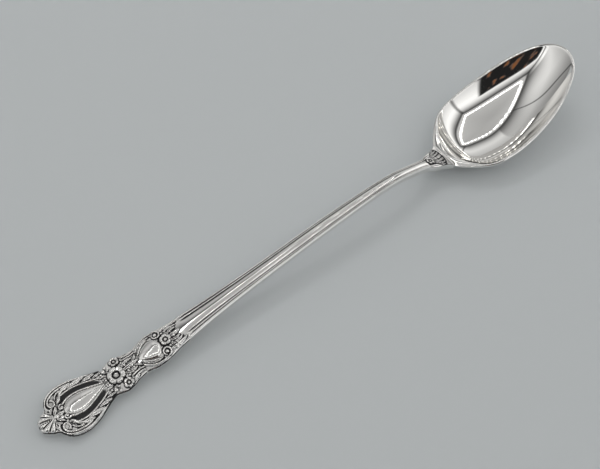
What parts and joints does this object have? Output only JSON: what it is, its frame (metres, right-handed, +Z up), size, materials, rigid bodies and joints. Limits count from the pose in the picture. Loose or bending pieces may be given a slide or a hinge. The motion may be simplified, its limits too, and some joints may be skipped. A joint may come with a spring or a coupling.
{
  "type": "iced tea spoon",
  "caption": "Long-handled iced tea spoon in silver plate, with an egg-shaped bowl, a reeded stem and a scrolled floral handle end.",
  "frame": {"origin": "on the table, under the middle of the spoon's length", "axes": "+X runs from the handle end to the tip of the bowl, +Z is up out of the bowl, +Y is across to the left of someone looking along +X"},
  "size_m": [0.19, 0.0284, 0.02],
  "materials": {
    "polished_silver": "mirror-polished silver plate with fine use scratches",
    "antique_silver": "polished silver plate with dark patina left in the recesses of the relief"
  },
  "bodies": {
    "root": {"bowl": "polished_silver", "neck": "polished_silver", "stem": "polished_silver", "handle": "polished_silver", "end_shell": "antique_silver", "end_scrolls": "antique_silver", "husk_borders": "antique_silver", "crescent_threads": "antique_silver", "oval_panel": "polished_silver", "oval_border": "antique_silver", "main_blossom": "antique_silver", "side_blossoms": "antique_silver", "beads": "antique_silver", "waist_spray": "antique_silver", "waist_reeds": "antique_silver", "upper_panel": "polished_silver", "upper_husks": "antique_silver", "upper_volutes": "antique_silver", "upper_blossom": "antique_silver", "stem_spray": "antique_silver", "neck_spray": "antique_silver"}
  },
  "joints": []
}
